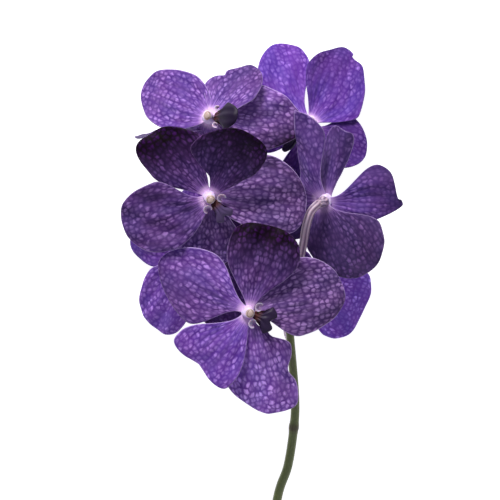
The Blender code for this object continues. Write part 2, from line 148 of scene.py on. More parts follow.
# Each bloom has its place across and down the photograph and its height above the floor, the way it
# faces, its lip, the spots of its stalk from the stem on, and its blades. Two have their own size of
# ear, or stalk radius and ovary length. Headings are degrees from the right, anticlockwise. A blade's
# left and right give the largest half width of that side, where it is along the blade, how blunt the
# tip is and how slender the root. A dent is a bite in the left edge (1) or the right one (-1), with
# its place along the blade, its depth and its span.
BLOOMS = dict(
    bloom_1=dict(
        at=(250, 312, 78), face=(0.0, -0.05, 1.0),
        lip=dict(heading=-22, length=13.5, rise=35, curl=-45, flare=8, waist=0.4),
        stalk=[(280, 318, 44), (268, 317, 51), (255, 314, 62)],
        blades=dict(
            dorsal_sepal=dict(heading=151, length=53, rise=2, curl=-18,
                              left=(20.5, 0.45, 1.5, 2.3), right=(18.3, 0.55, 1.8, 1.9)),
            left_petal=dict(heading=226, length=38.4, lift=1.2, rise=10, curl=-22, notch=2.4,
                            left=(20, 0.8, 4, 1.1), right=(19.5, 0.8, 4, 2.1)),
            right_petal=dict(heading=78, length=45, lift=1.2, rise=12, curl=-18,
                             left=(18.5, 0.65, 3, 1.5), right=(20.5, 0.67, 2.3, 1.8)),
            left_sepal=dict(heading=281, length=55.5, rise=-2, curl=-18, ripple=0.8,
                            dents=[(1, 0.58, 3.8, 0.1), (1, 0.24, 3, 0.04)],
                            left=(18.3, 0.36, 5.5, 3.0), right=(19.3, 0.6, 1.35, 1.6)),
            right_sepal=dict(heading=10, length=51, rise=-2, curl=-20,
                             left=(24, 0.56, 1.9), right=(17.3, 0.45, 1.9, 1.9)))),
    bloom_2=dict(
        at=(211, 197, 80), face=(0.0, -0.15, 1.0),
        # Its lip is painted paler, as painted light where the lamp falls on it
        lip=dict(heading=-50, length=13.5, rise=38, curl=-60, flare=6.5, pale=0.44),
        stalk=[(272, 248, 42), (255, 230, 48), (228, 209, 62)],
        blades=dict(
            dorsal_sepal=dict(heading=132, length=45, rise=2, curl=-12, notch=2,
                              dents=[(-1, 0.24, 2.8, 0.08)],
                              left=(15.5, 0.6, 4, 1.4), right=(19, 0.5, 1.5, 1.6)),
            left_petal=dict(heading=199, length=47, lift=1.2, rise=8, curl=-25,
                            left=(19.8, 0.55, 2.2, 0.8), right=(17.5, 0.5, 2.4, 2.5)),
            right_petal=dict(heading=63, length=45, lift=1.2, rise=27, curl=5, dents=[(1, 0.24, 2.8, 0.08)],
                             left=(21.5, 0.53, 1.6, 2.2), right=(16.5, 0.73, 3, 1.2)),
            left_sepal=dict(heading=264, length=43, rise=-15, curl=-20, left=(18,), right=(16,)),
            right_sepal=dict(heading=-5, length=50, rise=-5, curl=-12,
                             left=(25, 0.52, 1.7), right=(17.5, 0.74, 2.6, 0.7)))),
    bloom_3=dict(
        at=(212, 118, 60), face=(-0.35, 0.15, 0.9), ear=0.6,
        lip=dict(heading=-4, length=20, rise=42, curl=-25, flare=7.4, waist=0.3, notch=0.0, pale=0.0),
        stalk=[(268, 186, 36), (254, 166, 38), (234, 140, 44)],
        blades=dict(
            dorsal_sepal=dict(heading=153, length=50, rise=-5, curl=-15,
                              left=(16.5, 0.52, 1.9, 0.8), right=(17.2, 0.42, 2, 0.6)),
            left_petal=dict(heading=192, length=53, lift=-7.2, rise=-5, curl=-25, sway=-12, twist=80,
                            left=(12,), right=(12,)),
            right_petal=dict(heading=63, length=38, lift=2, rise=-20, curl=-15, dents=[(1, 0.64, 2.2, 0.05)],
                             left=(13.5, 0.4, 1.4, 1.4), right=(15.2, 0.55, 2, 0.9)),
            left_sepal=dict(heading=262, length=34, rise=-42, curl=-20, left=(16,), right=(17,)),
            right_sepal=dict(heading=0, length=52, rise=-35,
                             left=(21, 0.5, 1.6, 1.2), right=(16.3, 0.46, 1.3)))),
    bloom_4=dict(
        at=(310, 124, 26.5), face=(0.2, 0.25, 0.95),
        lip=dict(heading=227, length=22, rise=25, curl=-35, flare=3.4, notch=0.0),
        stalk=[(292, 198, 30), (308, 186, 23), (318, 168, 14), (316, 146, 9)],
        blades=dict(
            dorsal_sepal=dict(heading=64, length=53.5, rise=-2, curl=-15, dents=[(-1, 0.92, 4, 0.035)],
                              left=(15.3, 0.58, 1.5, 1.6), right=(22.8, 0.32, 1.9, 1.15)),
            left_petal=dict(heading=113.5, length=50.5, lift=-0.8, rise=-4, curl=-12, sway=-12,
                            left=(19, 0.5, 1.65, 0.9), right=(15, 0.74, 2.1, 2.5)),
            right_petal=dict(heading=-27, length=34, lift=-1.6,
                             left=(17, 0.52, 1.8, 3), right=(15, 0.55, 1.8)),
            left_sepal=dict(heading=180, length=42, rise=-12, lift=-1.4, left=(15,), right=(15,)),
            right_sepal=dict(heading=250, length=42, rise=-24, left=(10,), right=(6.5, 0.75, 2, 1.6)))),
    bloom_5=dict(
        at=(325, 201, 54), face=(0.3, 0.25, -0.92), stalk_radius=2.3, ovary=5.0,
        lip=dict(heading=183, length=16, rise=40, curl=-40, flare=3.2),
        stalk=[(293, 292, 44), (295, 283, 48), (300, 262, 54), (304.5, 242, 59), (307.5, 225, 63),
               (312, 212, 65), (318, 205, 64)],
        blades=dict(
            dorsal_sepal=dict(heading=-2, length=42, dents=[(1, 0.94, 6.5, 0.045)], lift=1.4,
                              left=(20.5, 0.66, 1.75, 2.2), right=(11, 0.5, 1.3, 0.8)),
            left_petal=dict(heading=-60, length=43, lift=-0.8, curl=-15, crease=8,
                            left=(22.6, 0.52, 2.3, 2.2), right=(21, 0.45, 1.8, 0.7)),
            right_petal=dict(heading=74, length=37, lift=5, crease=-45, rise=5,
                             left=(12.5, 0.6, 3, 0.5), right=(5, 0.75, 3, 1.6)),
            left_sepal=dict(heading=200, length=34, rise=-5, lift=1.4, left=(15,), right=(15,)),
            right_sepal=dict(heading=107, length=50, crease=-25,
                             left=(11.5, 0.15, 1.1, 0.4), right=(10.5, 0.7, 1.3, 3)))),
    bloom_6=dict(
        at=(195, 262, 26.5), face=(-0.45, -0.2, 0.85),
        lip=dict(heading=192, length=15, rise=40, curl=-40, flare=3.4),
        stalk=[(272, 270, 34), (248, 263, 24), (222, 262, 9)],
        blades=dict(
            dorsal_sepal=dict(heading=23, length=41, rise=-22, left=(16,), right=(16,)),
            left_petal=dict(heading=86, length=42, lift=1.2, left=(15,), right=(15,)),
            right_petal=dict(heading=306, length=42, lift=1.2, rise=5, left=(21, 0.5, 2, 0.8), right=(16,)),
            left_sepal=dict(heading=165, length=43.5, rise=-5, lift=0.9,
                            left=(10, 0.62, 2, 2.8), right=(16,)),
            right_sepal=dict(heading=228, length=46.8, rise=3,
                             left=(20.2, 0.68, 2.4), right=(15.8, 0.48, 1.8, 1.5)))),
    bloom_7=dict(
        at=(312, 288, 25.4), face=(0.45, -0.2, 0.87),
        lip=dict(heading=220, length=14, rise=35, curl=-40, flare=3.2),
        stalk=[(290, 338, 28), (289, 337, 14), (287, 322, 5), (294, 298, 4)],
        blades=dict(
            dorsal_sepal=dict(heading=50, length=42, rise=-3, curl=-8, left=(13,), right=(11, 0.55, 2, 1.2)),
            left_petal=dict(heading=128, length=28, lift=1.2, rise=-23, left=(11,), right=(12,)),
            right_petal=dict(heading=-28, length=39, lift=1.2, rise=-4,
                             left=(23, 0.62, 2.2), right=(20, 0.5, 2.4)),
            left_sepal=dict(heading=192, length=38, rise=-36,
                            left=(12, 0.5, 2, 1.4), right=(11, 0.5, 2, 1.4)),
            right_sepal=dict(heading=272, length=28, rise=-25, curl=-40,
                             left=(14,), right=(8, 0.6, 2, 1.4)))),
)

# How bright each blade is painted half way along, from the darkest violet to the brightest, as painted
# light and shade; how far it has faded from blue violet to a duller red violet; and how much brighter its
# root is painted than its tip and its left side than its right, as painted shade too
SHADE_AND_AGE = dict(
    bloom_1=dict(dorsal_sepal=(0.54, 0.5, 0.15, -0.5), left_petal=(0.8, 0.3), right_petal=(0.19, 0.6, 0.8),
                 left_sepal=(0.95, 0.7, -0.6, -0.9), right_sepal=(0.42, 1.0, 0.2, 0.3)),
    bloom_2=dict(dorsal_sepal=(0.06, 0.5, 0.5, 0.1), left_petal=(0.3, 0.6, 0.0, 0.05),
                 right_petal=(0.08, 0.5, 0.4), left_sepal=(0.5, 1.0, -0.4),
                 right_sepal=(0.46, 1.0, 0.25, -0.15)),
    bloom_3=dict(dorsal_sepal=(0.62, 0.4, 0.15), left_petal=(0.4, 0.5), right_petal=(0.5, 0.5, 0.5),
                 left_sepal=(0.4, 0.5), right_sepal=(0.55, 0.9, 0.8, 0.9)),
    bloom_4=dict(dorsal_sepal=(0.52, 0.0, 0.3, -0.3), left_petal=(0.76, 0.0, -0.02),
                 right_petal=(0.38, 0.1), left_sepal=(0.7, 0.2), right_sepal=(0.4, 0.2)),
    bloom_5=dict(dorsal_sepal=(0.4, 0.3, 0.5, -0.15), left_petal=(0.14, 0.7, 0.25, 0.1),
                 right_petal=(0.35, 0.5, 0.15), left_sepal=(0.05, 0.2), right_sepal=(0.48, 0.5)),
    bloom_6=dict(dorsal_sepal=(0.0, 0.2), left_petal=(0.5, 0.2), right_petal=(0.1, 0.2),
                 left_sepal=(0.45, 0.1), right_sepal=(0.76, 0.3)),
    bloom_7=dict(dorsal_sepal=(0.66, 0.2), left_petal=(0.45, 0.2), right_petal=(1.1, 0.1),
                 left_sepal=(0.38, 0.2), right_sepal=(0.6, 0.2)),
)


def spot(across, down, height):
    """A point by its place in the photograph and its height above the floor: a line of sight cut at
    that height."""
    reach = SCALE * (VIEW - height) / (VIEW - HEIGHT)
    return np.array([(across - PHOTO_SIDE / 2) * reach, (PHOTO_SIDE / 2 - down) * reach, height])


def unit(v):
    """The same way at length 1: a vector, or each vector of an array, over its length."""
    v = np.asarray(v, float)
    return v / np.maximum(np.linalg.norm(v, axis=-1, keepdims=True), 1e-9)


def bloom_axes(face, heading):
    """The way a bloom faces, the heading laid into its plane, and the way across it."""
    n = unit(face)
    hx, hy = cos(radians(heading)), sin(radians(heading))
    d = unit([hx, hy, -(hx * n[0] + hy * n[1]) / n[2]])
    return n, d, np.cross(n, d)


def surface(name, rings, uv, place, material):
    """A closed surface on a grid: rings of points one after another, each joined to the next all round,
    and each end closed by a fan to its middle. uv has one more column than the rings, for the seam.
    place gives each point the four numbers that its material reads as red, green, blue and alpha. The
    faces are turned round where the volume inside, a sum of triple products, is negative."""
    m, n = rings.shape[:2]
    verts = np.vstack([rings.reshape(-1, 3), rings[0].mean(0)[None], rings[-1].mean(0)[None]])
    i, j = np.meshgrid(np.arange(m - 1), np.arange(n), indexing="ij")
    k = (j + 1) % n
    quads = np.stack([i * n + j, (i + 1) * n + j, (i + 1) * n + k, i * n + k], -1).reshape(-1, 4)
    quad_uv = np.stack([uv[i, j], uv[i + 1, j], uv[i + 1, j + 1], uv[i, j + 1]], 2).reshape(-1, 2)
    j = np.arange(n)
    k = (j + 1) % n
    ends = []
    end_uv = []
    for row, pole, order in ((0, m * n, 1), (m - 1, m * n + 1, -1)):
        fan = np.stack([np.full(n, pole), row * n + j, row * n + k], -1)
        fan_uv = np.stack([(uv[row, :-1] + uv[row, 1:]) / 2, uv[row, :-1], uv[row, 1:]], 1)
        ends.append(fan[:, ::order])
        end_uv.append(fan_uv[:, ::order].reshape(-1, 2))
    middle = verts.mean(0)
    a, b, c = (verts[quads[:, corner]] - middle for corner in (0, 1, 2))
    outward = np.einsum("ij,ij->", a, np.cross(b, c)) > 0
    faces = [row if outward else row[::-1] for row in quads.tolist() + ends[0].tolist() + ends[1].tolist()]
    mesh = bpy.data.meshes.new(name)
    mesh.from_pydata(((verts - FOOTPRINT_MIDDLE) * MM).tolist(), [], faces)
    if not outward:
        quad_uv = quad_uv.reshape(-1, 4, 2)[:, ::-1].reshape(-1, 2)
        end_uv = [fan.reshape(-1, 3, 2)[:, ::-1].reshape(-1, 2) for fan in end_uv]
    layer = mesh.uv_layers.new(name="skin")
    layer.data.foreach_set("uv", np.vstack([quad_uv] + end_uv).astype(np.float32).ravel())
    places = np.vstack([place.reshape(-1, 4), place[0].mean(0)[None], place[-1].mean(0)[None]])
    channels = mesh.attributes.new("place", "FLOAT_COLOR", "POINT")
    channels.data.foreach_set("color", places.astype(np.float32).ravel())
    mesh.materials.append(material)
    mesh.shade_smooth()
    made = bpy.data.objects.new(name, mesh)
    bpy.context.scene.collection.objects.link(made)
    return made


def add_node(tree, kind, feeds=None, out=0, **settings):
    """Adds a node with its settings, sets or links each named or numbered input, and gives the output
    asked for, or the first."""
    made = tree.nodes.new("ShaderNode" + kind)
    for key, value in settings.items():
        setattr(made, key, value)
    for socket, feed in (feeds or {}).items():
        if isinstance(feed, bpy.types.NodeSocket):
            tree.links.new(feed, made.inputs[socket])
        else:
            made.inputs[socket].default_value = feed
    return made.outputs[out]


def place_numbers(tree):
    """The four numbers of place, for a material's nodes to read."""
    alpha = add_node(tree, "Attribute", out="Alpha", attribute_name="place")
    red = add_node(tree, "SeparateColor", {"Color": alpha.node.outputs["Color"]})
    return (*red.node.outputs[:3], alpha)


def half_width(s, widest, belly=0.5, tip=2, root=1):
    """Half width along a blade: a sine to the power root up to the belly, then a rounded fall to the tip,
    the power 1 / tip of 1 - the way past the belly to the power tip."""
    rise = np.sin(pi / 2 * np.clip(s / belly, 0, 1)) ** root
    fall = np.clip(1 - np.clip((s - belly) / (1 - belly), 0, 1) ** tip, 0, 1) ** (1 / tip)
    return widest * np.where(s < belly, rise, fall)


def blade(name, middle, face, seed, painted_light, age, painted_root_light=0.0, painted_side_light=0.0, *, heading, length, left, right,
          rise=0.0, curl=-10.0, lift=0.0, cup=8.0, crease=0.0, sway=0.0, twist=0.0, ripple=0.0,
          notch=0.0, dents=()):
    """A sepal or petal as a thin closed skin.

    The midrib starts lift above the bloom's plane, leaves along its heading at the angle rise, bends by
    curl out of the plane and by sway within it. Each row crosses the midrib, as wide as half_width and
    the bell-shaped dents make it, rolled about the midrib by twist, arched by cup, folded by crease and
    waved at its ends, more so by ripple, with low pleats along the veins and a slack swell of three
    sine waves. The middle of the tip is drawn back by notch. The skin lies half the thickness to each
    side of that surface, and thins to nothing at its rim. Its painted light and shade, the brightness
    of its violet, changes by the two numbers after age from the root to the tip and from the left side
    to the right.
    """
    rows, columns, rib_steps = 64, 40, 200
    length = length + BARE_CLAW
    draw = np.random.default_rng(seed)
    back = face[2] < 0
    if back:
        face, rise, curl, lift, cup = -np.asarray(face), -rise, -curl, -lift, -cup
    n, d, across = bloom_axes(face, heading)

    # The midrib, and the three ways of each row: along it, across it and out of it
    fine = np.linspace(0, 1, rib_steps + 1)
    up = np.radians(rise + curl * fine)
    turn = np.radians(sway) * fine
    along = (np.cos(up) * np.cos(turn))[:, None] * d + (np.cos(up) * np.sin(turn))[:, None] * across
    along = along + np.sin(up)[:, None] * n
    rib = np.vstack([np.zeros(3), np.cumsum((along[1:] + along[:-1]) / 2, 0) / rib_steps * length])
    rib = rib + middle + BLADE_ROOT * d + lift * n
    s = np.sin(np.linspace(0, pi / 2, rows + 1))
    rib = np.stack([np.interp(s, fine, rib[:, i]) for i in range(3)], -1)
    t = unit(np.stack([np.interp(s, fine, along[:, i]) for i in range(3)], -1))
    turn = np.radians(sway) * s[:, None]
    b = np.cos(turn) * across - np.sin(turn) * d
    b = unit(b - (b * t).sum(-1, keepdims=True) * t)
    out = np.cross(t, b)
    roll = np.radians(twist) * np.sin(pi / 2 * np.clip(s / 0.4, 0, 1))[:, None]
    b, out = np.cos(roll) * b + np.sin(roll) * out, np.cos(roll) * out - np.sin(roll) * b

    # The outline: side runs from -1 at the right edge to 1 at the left one, closer together there
    side = np.sin(np.linspace(-pi / 2, pi / 2, columns + 1))
    side = 0.5 * side + 0.5 * np.linspace(-1, 1, columns + 1)
    sign = np.where(side >= 0, 1.0, -1.0)
    claw = CLAW * (1 - s) ** 3
    widths = [(claw + half_width(s, *half))[:, None] for half in (left, right)]
    width = np.where(side >= 0, *widths)
    for which, place, depth, span in dents:
        dent = depth * np.exp(-((s[:, None] - place) / span) ** 2)
        width = np.where(sign == which, np.clip(width - dent, 0.15 * width, None), width)
    width[-1] = 0
    x = np.abs(side) * width

    # The relief: cup and crease, then waves that grow towards the edges, pleats and the slack swell,
    # calmer at the root and at the tip
    wide = 0.5 * (left[0] + right[0])
    bend = radians(cup) / wide
    height = (1 - np.cos(bend * x)) / bend
    height = height + np.tan(radians(crease)) * (np.sqrt(x * x + FOLD_ROUND) - FOLD_ROUND ** 0.5)
    wave = EDGE_WAVE * np.abs(side) ** 2.2 * np.sin(2 * pi * (s[:, None] + heading / 97.0 + 0.25 * sign))
    wave = wave + ripple * np.abs(side) ** 6 * np.sin(7 * pi * s[:, None] + 1.3 * sign)
    ruffle = np.sin(2 * pi * (draw.uniform(3, 5) * s[:, None] + draw.uniform() + 0.3 * sign))
    wave = wave + EDGE_RUFFLE * np.abs(side) ** 5 * ruffle
    calm = (np.clip(s / 0.3, 0, 1) * np.clip((1 - s) / 0.08, 0, 1) ** 0.5)[:, None]
    pleat = np.cos(2 * pi * (3.5 * side + 0.3 * np.sin(2.5 * side + draw.uniform(0, 6))))
    pleat = pleat * (1 - np.abs(side)) ** 0.5
    pleat = PLEAT * width * pleat * np.sin(pi * s[:, None] ** 0.7)
    slack = np.zeros_like(x)
    for _ in range(3):
        angle = pi / 2 + draw.uniform(-0.7, 0.7)
        wavelength = draw.uniform(11, 24)
        phase = draw.uniform(0, 2 * pi)
        distance = cos(angle) * s[:, None] * length + sin(angle) * x * sign
        slack += np.sin(2 * pi * distance / wavelength + phase)
    height = height + (wave + SLACK * slack) * calm + pleat
    reach = sign * np.sin(bend * x) / bend
    points = rib[:, None] + b[:, None] * reach[..., None] + out[:, None] * height[..., None]
    pull = notch * s[:, None] ** 5 * np.exp(-(x / (0.33 * wide)) ** 2)
    points = points - t[:, None] * pull[..., None]

    # The upper and the lower face, joined at the rim
    normal = np.cross(np.gradient(points, axis=0), np.gradient(points, axis=1))
    normal[-1] = normal[-2].mean(0)
    normal = unit(normal)
    thick = 0.5 * TEPAL * np.sqrt(np.clip(1 - np.abs(side) ** 14, 0, 1)) * np.sqrt(1 - s[:, None] ** 30)
    above, below = points + normal * thick[..., None], points - normal * thick[..., None]
    rings = np.concatenate([above, below[:, -2:0:-1]], 1)

    # The uv counts cells of the net out along the fan and across it. Place holds the distance from the
    # fan's start and from the rim, 1 on the side that faces as the bloom does, and the painted light and
    # shade.
    far = np.hypot(s[:, None] * length + FAN_BACK, x)
    cell_width = far / VEINS / (1 + (far / VEINS / CELL_WIDE) ** 3) ** (1 / 3)
    cell = np.stack([(far + 0.12 * length * s[:, None] ** 5) / CELL + draw.uniform(0, 50),
                     x * sign / cell_width * (1 + 0.1 * side ** 4) + draw.uniform(0, 50)], -1)
    uv = np.concatenate([cell, cell[:, -2:0:-1], cell[:, :1]], 1)
    lit = (normal @ n > 0) != back
    from_rim = np.minimum((1 - np.abs(side)) * width, (1 - s[:, None]) * length)
    # Painted light and shade: the blade's brightness, changing from root to tip and from side to side
    painted_light_here = np.clip(painted_light + painted_root_light * (0.5 - s[:, None]) + 0.5 * painted_side_light * side, -0.1, 1.1)
    place = np.stack([far / REACH, from_rim / REACH, lit * 1.0, painted_light_here], -1)
    under = place[:, -2:0:-1].copy()
    under[..., 2] = 1 - under[..., 2]
    made = surface(name, rings, uv, np.concatenate([place, under], 1), TEPAL_SKIN)
    ages = made.data.attributes.new("age", "FLOAT", "POINT")
    ages.data.foreach_set("value", np.full(len(made.data.vertices), age))
    return made


# Living petal tissue: soft, faintly velvety and thin enough to glow where the light comes through.
# The net's cells are 3.6 mm long, the size they have in the photograph, and one cell is 1 in the uv.
TEPAL_SKIN, tree, shader = new_material(
    "netted petal tissue", Roughness=0.5, Subsurface_Weight=0.1, Subsurface_Scale=0.001,
    Subsurface_Radius=(1.0, 0.5, 1.0), Sheen_Weight=0.03, Sheen_Roughness=0.4,
    Sheen_Tint=hex_colour("#9070E0"), Specular_IOR_Level=0.07)
skin = add_node(tree, "UVMap", uv_map="skin")
# The fourth number of place is the blade's painted light and shade
far, from_rim, front, painted_light = place_numbers(tree)
age = add_node(tree, "Attribute", out="Fac", attribute_name="age")

# The net: pale cells, each a little brighter or darker than the next, soft at their sides and moved
# out of line by up to 0.4 of a cell
wander = add_node(tree, "TexNoise", {"Vector": skin, "Scale": 1.1, "Detail": 2.0}, out="Color")
wander = add_node(tree, "VectorMath", {0: wander, 1: (0.5, 0.5, 0.5)}, operation="SUBTRACT")
wander = add_node(tree, "VectorMath", {0: wander, "Scale": 0.8}, operation="SCALE")
cell_place = add_node(tree, "VectorMath", {0: skin, 1: wander}, operation="ADD")
edge = add_node(tree, "TexVoronoi", {"Vector": cell_place, "Scale": 1.0, "Randomness": 0.8},
                voronoi_dimensions="2D", feature="DISTANCE_TO_EDGE")
cells = add_node(tree, "TexVoronoi", {"Vector": cell_place, "Scale": 1.0, "Randomness": 0.8},
                 voronoi_dimensions="2D", feature="F1")
pale = add_node(tree, "MapRange", {"Value": edge, "From Min": 0.03, "From Max": 0.42},
                interpolation_type="SMOOTHSTEP")
blob = add_node(tree, "MapRange", {"Value": cells, "From Min": 0.66, "From Max": 0.08},
                interpolation_type="SMOOTHSTEP")
pale = add_node(tree, "Mix", {0: 0.55, 2: pale, 3: blob})
each = add_node(tree, "SeparateColor", {"Color": cells.node.outputs["Color"]})
each = add_node(tree, "Math", {0: each, 1: each, 2: 0.3}, operation="MULTIPLY_ADD")
pale = add_node(tree, "Math", {0: pale, 1: each}, operation="MULTIPLY")

# Within 17 mm of the fan's start the cells draw out into streaks along the veins, about eight times as
# long as wide, and the streaks leave a faint thread in the cells further out
stretch = add_node(tree, "VectorMath", {0: skin, 1: (0.25, 2.0, 1.0)}, operation="MULTIPLY")
streaks = add_node(tree, "TexNoise", {"Vector": stretch, "Scale": 1.3, "Detail": 3.0})
streaks = add_node(tree, "MapRange", {"Value": streaks, "From Min": 0.35, "From Max": 0.65})
near = add_node(tree, "MapRange", {"Value": far, "From Min": 17 / REACH, "From Max": 7 / REACH},
                interpolation_type="SMOOTHSTEP")
thread = add_node(tree, "MapRange", {"Value": streaks, "To Min": 0.7, "To Max": 1.6})
pale = add_node(tree, "Math", {0: pale, 1: thread}, operation="MULTIPLY")
pale = add_node(tree, "Mix", {0: near, 2: pale, 3: streaks})

# The net stands out more on an old bloom, and patches of it more than others
strength = add_node(tree, "MapRange", {"Value": age, "To Min": 0.38, "To Max": 0.95})
patch = add_node(tree, "TexNoise", {"Vector": skin, "Scale": 0.28, "Detail": 1.0})
patch = add_node(tree, "MapRange", {"Value": patch, "From Min": 0.3, "From Max": 0.7, "To Min": 0.6,
                                    "To Max": 1.4})
strength = add_node(tree, "Math", {0: strength, 1: patch}, operation="MULTIPLY")
pale = add_node(tree, "Mix", {0: strength, 2: 0.22, 3: pale}, clamp_factor=False)

# Veins and cells each run from dark to bright violet with the painted light and shade
net = add_node(tree, "Mix", {0: painted_light, 6: hex_colour("#1C0B30"), 7: hex_colour("#582C9A")},
               out=2, data_type="RGBA", clamp_factor=False)
cell = add_node(tree, "Mix", {0: painted_light, 6: hex_colour("#50306E"), 7: hex_colour("#C498FA")},
                out=2, data_type="RGBA", clamp_factor=False)
colour = add_node(tree, "Mix", {0: pale, 6: net, 7: cell}, out=2, data_type="RGBA")

# Patches drift from blue violet to red violet, and an old bloom is redder and duller all over
drift = add_node(tree, "TexNoise", {"Vector": skin, "Scale": 0.2, "Detail": 1.0})
drift = add_node(tree, "MapRange", {"Value": drift, "From Min": 0.35, "From Max": 0.65, "To Min": 0.488,
                                    "To Max": 0.504})
hue = add_node(tree, "Math", {0: age, 1: 0.022, 2: drift}, operation="MULTIPLY_ADD")
vivid = add_node(tree, "MapRange", {"Value": age, "To Min": 1.06, "To Max": 0.86})
colour = add_node(tree, "HueSaturation", {"Hue": hue, "Saturation": vivid, "Color": colour})

# The root runs from lilac streaks to a pinkish white claw, fainter on the back. The lilac is brighter
# where more light is painted
ragged = add_node(tree, "Math", {0: streaks, 1: -6 / REACH, 2: far}, operation="MULTIPLY_ADD")
lilac = add_node(tree, "MapRange", {"Value": ragged, "From Min": 12 / REACH, "From Max": 2 / REACH,
                                    "To Max": 0.7}, interpolation_type="SMOOTHSTEP")
faint = add_node(tree, "MapRange", {"Value": front, "To Min": 0.45, "To Max": 1.0})
lilac = add_node(tree, "Math", {0: lilac, 1: faint}, operation="MULTIPLY")
root = add_node(tree, "Mix", {0: painted_light, 6: hex_colour("#8A5AA8"), 7: hex_colour("#B084E0")},
                out=2, data_type="RGBA")
colour = add_node(tree, "Mix", {0: lilac, 6: colour, 7: root}, out=2, data_type="RGBA")
claw = add_node(tree, "MapRange", {"Value": far, "From Min": 10.5 / REACH, "From Max": 6 / REACH},
                interpolation_type="SMOOTHSTEP")
claw = add_node(tree, "Math", {0: claw, 1: faint}, operation="MULTIPLY")
colour = add_node(tree, "Mix", {0: claw, 6: colour, 7: hex_colour("#E6C2EE")}, out=2, data_type="RGBA")

# The back is a little duller, and the rim a thin line, paler on blades with more painted light and on old
# blades
dull = add_node(tree, "MapRange", {"Value": front, "To Min": 0.15, "To Max": 0.0})
colour = add_node(tree, "Mix", {0: dull, 6: colour, 7: hex_colour("#544A80")}, out=2, data_type="RGBA")
bright = add_node(tree, "Math", {0: painted_light, 1: age}, operation="ADD")
bright = add_node(tree, "MapRange", {"Value": bright, "From Min": 0.5, "From Max": 1.3, "To Min": 0.02,
                                     "To Max": 0.75})
rim = add_node(tree, "MapRange", {"Value": from_rim, "From Min": 0.6 / REACH, "From Max": 0.1 / REACH,
                                  "To Max": bright})
colour = add_node(tree, "Mix", {0: rim, 6: colour, 7: hex_colour("#BFA6DC")}, out=2, data_type="RGBA")
tree.links.new(colour, shader.inputs["Base Color"])
# The cells swell a little between the veins
bump = add_node(tree, "Bump", {"Height": pale, "Distance": 0.0002, "Strength": 0.5})
tree.links.new(bump, shader.inputs["Normal"])

for bloom_number, (bloom_name, bloom) in enumerate(BLOOMS.items()):
    for blade_number, (blade_name, shape) in enumerate(bloom["blades"].items()):
        node_name = f"{bloom_name}_{blade_name}"
        seed = 10 * bloom_number + blade_number
        look = SHADE_AND_AGE[bloom_name][blade_name]
        piece = blade(f"{node_name}_skin", spot(*bloom["at"]), bloom["face"], seed, *look, **shape)
        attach(piece, "root")
        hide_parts(node_name)


# Columns
# The column is the fleshy post in the middle of a bloom: lilac-white and tapered, with a cream anther
# cap on its end that a fine brown line runs round. It grows from the end of the flower stalk.

# Points up the column's side: how far its middle leans towards the lip, its height and its radius
COLUMN_PROFILE = [(-0.3, -0.35, 3.6), (-0.6, 1.0, 3.5), (-0.7, 2.6, 3.3), (-0.5, 4.2, 3.2),
                  (0.0, 5.6, 2.9), (0.6, 6.7, 2.3), (0.9, 7.5, 1.2)]
CAP_START = 0.78  # share of the column's length where the cap begins
CAP_GROOVE = 0.14  # depth of the groove there: this and the next two are shares of the radius
CAP_CHEEKS = 0.12
COLUMN_RIBS = 0.07


def smooth_path(points, steps):
    """A smooth curve through the points: a cubic from each to the next, which leaves a point the way
    its two neighbours lie."""
    points = np.asarray(points, float)
    points = np.vstack([2 * points[0] - points[1], points, 2 * points[-1] - points[-2]])
    a, b, c, d = (points[k:len(points) - 3 + k][:, None] for k in range(4))
    u = (np.arange(steps) / steps)[None, :, None]
    curve = b + 0.5 * ((c - a) * u + (2 * a - 5 * b + 4 * c - d) * u**2 + (3 * b - 3 * c + d - a) * u**3)
    return np.vstack([curve.reshape(-1, points.shape[1]), points[-2:-1]])


# Waxy living tissue, half glossy, that light sinks into: lilac-white below the cap and cream on it, with
# the line and the two pits in brown
COLUMN_SKIN, tree, shader = new_material(
    "waxy cream flower tissue", Roughness=0.38, Subsurface_Weight=0.3, Subsurface_Scale=0.0015,
    Subsurface_Radius=(1.0, 0.7, 0.6))
share, round_cap, pits, _ = place_numbers(tree)
cap = add_node(tree, "MapRange", {"Value": share, "From Min": 0.76, "From Max": 0.82})
colour = add_node(tree, "Mix", {0: cap, 6: hex_colour("#E2CAF4"), 7: hex_colour("#B8A29C")},
                  out=2, data_type="RGBA")
line = add_node(tree, "Math", {0: share, 1: 0.92, 2: 0.02}, operation="COMPARE")
line = add_node(tree, "Math", {0: line, 1: round_cap}, operation="MULTIPLY")
line = add_node(tree, "Math", {0: line, 1: pits}, operation="MAXIMUM")
colour = add_node(tree, "Mix", {0: line, 6: colour, 7: hex_colour("#6A4A40")}, out=2, data_type="RGBA")
tree.links.new(colour, shader.inputs["Base Color"])


